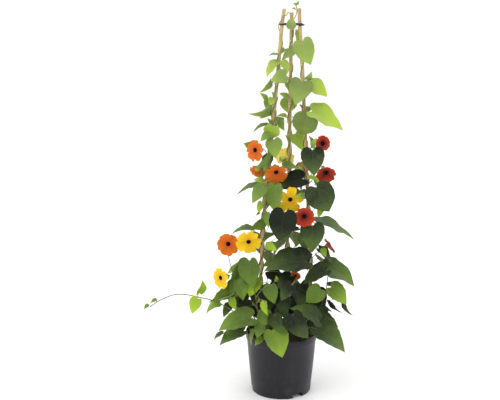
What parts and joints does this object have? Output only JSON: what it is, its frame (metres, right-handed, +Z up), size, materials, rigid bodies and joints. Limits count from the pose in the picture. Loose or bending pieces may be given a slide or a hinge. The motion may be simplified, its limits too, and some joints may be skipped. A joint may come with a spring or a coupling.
{
  "type": "black eyed susan vine",
  "caption": "Twining vine with arrow-shaped leaves and dark-eyed orange, yellow and red flowers, climbing tied bamboo canes in a round nursery pot.",
  "frame": {"origin": "centre of the pot's flat underside", "axes": "+Z up along the pot's axis, -Y towards the front, +X to the right seen from the front"},
  "size_m": [0.4058, 0.2393, 0.7628],
  "materials": {
    "pot_plastic": "satin black moulded polypropylene",
    "soil": "dark moist peat potting soil",
    "bamboo": "natural split-free bamboo, satin",
    "tie_plastic": "black nylon strap",
    "foliage": "soft, slightly downy leaf",
    "petal_orange": "thin matt petal",
    "petal_yellow": "thin matt petal",
    "petal_cream": "thin matt petal",
    "petal_red": "thin matt petal",
    "bloom_eye": "velvety purple-black"
  },
  "bodies": {
    "root": {"pot": "pot_plastic", "soil": "soil", "cane_left": "bamboo", "cane_right": "bamboo", "cane_back": "bamboo", "cane_tie": "tie_plastic", "vine_left_1": "foliage", "vine_left_2": "foliage", "vine_right_1": "foliage", "vine_right_2": "foliage", "vine_back_1": "foliage", "vine_back_2": "foliage", "shoot_left": "foliage", "shoot_front_left": "foliage", "shoot_front": "foliage", "shoot_front_right": "foliage", "shoot_right": "foliage", "shoot_back": "foliage", "runner_left": "foliage", "bloom_01_petals": "petal_orange", "bloom_01_eye": "bloom_eye", "bloom_02_petals": "petal_orange", "bloom_02_eye": "bloom_eye", "bloom_03_petals": "petal_orange", "bloom_03_eye": "bloom_eye", "bloom_04_petals": "petal_cream", "bloom_04_eye": "bloom_eye", "bloom_05_petals": "petal_red", "bloom_05_eye": "bloom_eye", "bloom_06_petals": "petal_red", "bloom_06_eye": "bloom_eye", "bloom_07_petals": "petal_red", "bloom_07_eye": "bloom_eye", "bloom_08_petals": "petal_yellow", "bloom_08_eye": "bloom_eye", "bloom_09_petals": "petal_red", "bloom_09_eye": "bloom_eye", "bloom_10_petals": "petal_orange", "bloom_10_eye": "bloom_eye", "bloom_11_petals": "petal_yellow", "bloom_11_eye": "bloom_eye", "bloom_12_petals": "petal_red", "bloom_12_eye": "bloom_eye", "bloom_13_petals": "petal_yellow", "bloom_13_eye": "bloom_eye", "bloom_14_petals": "petal_orange", "bloom_14_eye": "bloom_eye", "bloom_15_petals": "petal_orange", "bloom_15_eye": "bloom_eye", "bloom_16_petals": "petal_yellow", "bloom_16_eye": "bloom_eye", "bloom_17_petals": "petal_red", "bloom_17_eye": "bloom_eye"}
  },
  "joints": []
}
